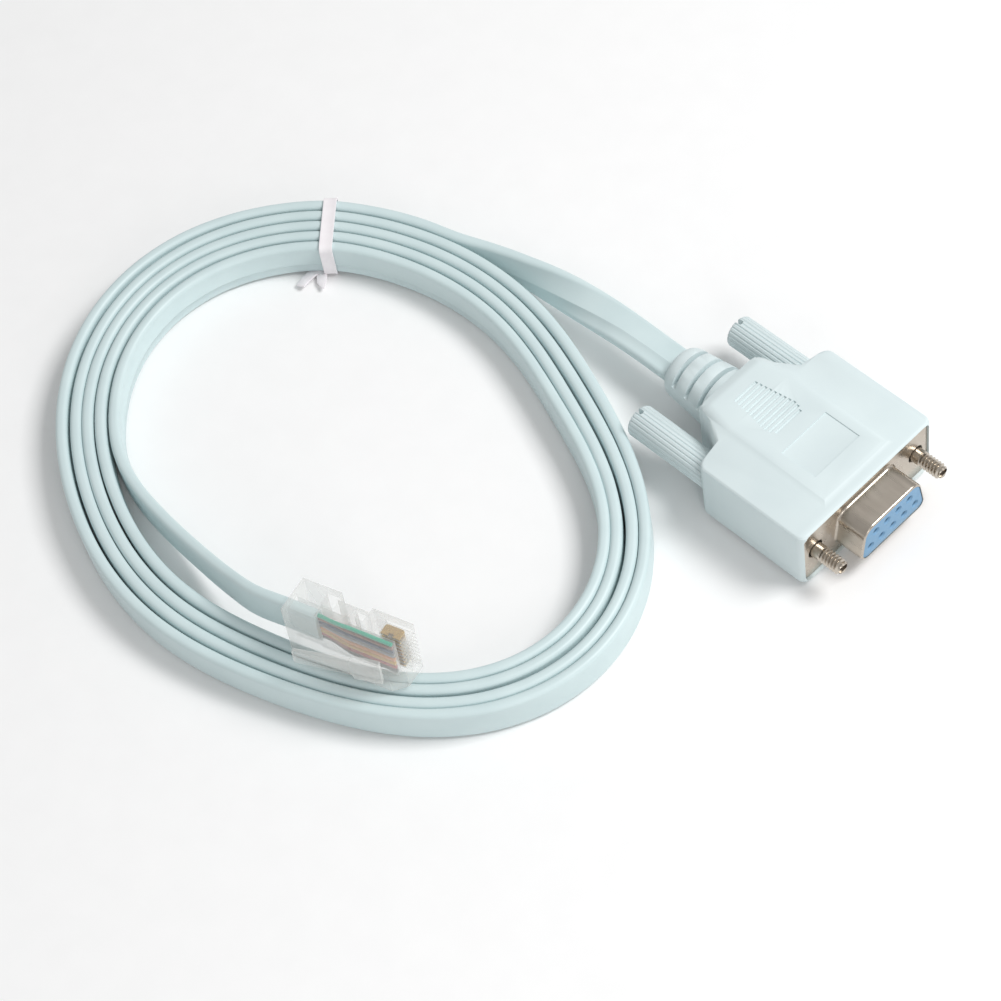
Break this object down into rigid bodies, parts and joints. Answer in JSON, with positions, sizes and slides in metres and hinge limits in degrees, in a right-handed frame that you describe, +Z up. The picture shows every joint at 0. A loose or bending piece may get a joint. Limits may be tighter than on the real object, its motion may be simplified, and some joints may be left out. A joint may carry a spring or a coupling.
{
  "type": "rj45 console cable",
  "caption": "Flat serial console cable, tied in an oval coil, with a D-sub socket connector with thumbscrews at one end and a clear modular plug at the other.",
  "frame": {"origin": "centre of the D-sub connector's footprint, on the surface that the cable lies on", "axes": "+X the way the D-sub connector is pushed home, +Z up from the surface, +Y to the left seen along +X"},
  "size_m": [0.1412, 0.1121, 0.0195],
  "materials": {
    "pvc_overmould": "moulded soft PVC, satin",
    "cable_jacket": "extruded PVC, satin",
    "grip_plastic": "moulded, lengthwise ribs",
    "nickel_plate": "nickel plated steel, satin",
    "blue_insulator": "moulded thermoplastic",
    "gold_contact": "gold flash over brass",
    "tie_plastic": "white plastic over wire",
    "clear_polycarbonate": "clear moulded polycarbonate",
    "wire_black": "coloured wire insulation",
    "wire_red": "coloured wire insulation",
    "wire_yellow": "coloured wire insulation",
    "wire_orange": "coloured wire insulation",
    "wire_grey": "coloured wire insulation",
    "wire_blue": "coloured wire insulation",
    "wire_brown": "coloured wire insulation",
    "wire_green": "coloured wire insulation"
  },
  "bodies": {
    "root": {"hood": "pvc_overmould", "d_shell": "nickel_plate", "insulator": "blue_insulator", "socket_contact_1": "gold_contact", "socket_contact_2": "gold_contact", "socket_contact_3": "gold_contact", "socket_contact_4": "gold_contact", "socket_contact_5": "gold_contact", "socket_contact_6": "gold_contact", "socket_contact_7": "gold_contact", "socket_contact_8": "gold_contact", "socket_contact_9": "gold_contact", "cable_coil": "cable_jacket", "cable_lead_socket_end": "cable_jacket", "cable_lead_plug_end": "cable_jacket", "twist_tie": "tie_plastic", "plug_body": "clear_polycarbonate", "plug_contact_1": "gold_contact", "plug_contact_2": "gold_contact", "plug_contact_3": "gold_contact", "plug_contact_4": "gold_contact", "plug_contact_5": "gold_contact", "plug_contact_6": "gold_contact", "plug_contact_7": "gold_contact", "plug_contact_8": "gold_contact", "conductor_1": "wire_black", "conductor_2": "wire_red", "conductor_3": "wire_yellow", "conductor_4": "wire_orange", "conductor_5": "wire_grey", "conductor_6": "wire_blue", "conductor_7": "wire_brown", "conductor_8": "wire_green"},
    "thumbscrew_left": {"jackscrew_left": "nickel_plate", "thumb_grip_left": "grip_plastic"},
    "thumbscrew_right": {"jackscrew_right": "nickel_plate", "thumb_grip_right": "grip_plastic"},
    "latch": {"plug_latch": "clear_polycarbonate"}
  },
  "joints": [
    {"name": "thumbscrew_left_turn", "type": "hinge", "parent": "root", "child": "thumbscrew_left", "pos_m": [0, 0.01249, 0.0073], "axis": [1, 0, 0], "continuous": true},
    {"name": "thumbscrew_right_turn", "type": "hinge", "parent": "root", "child": "thumbscrew_right", "pos_m": [0, -0.01249, 0.0073], "axis": [1, 0, 0], "continuous": true},
    {"name": "latch_press", "type": "hinge", "parent": "root", "child": "latch", "pos_m": [-0.0159, -0.07882, 0.01375], "axis": [-0.0593, 0.0571, 0.9966], "range_deg": [-8, 0], "stiffness_Nm_per_rad": 0.01}
  ]
}
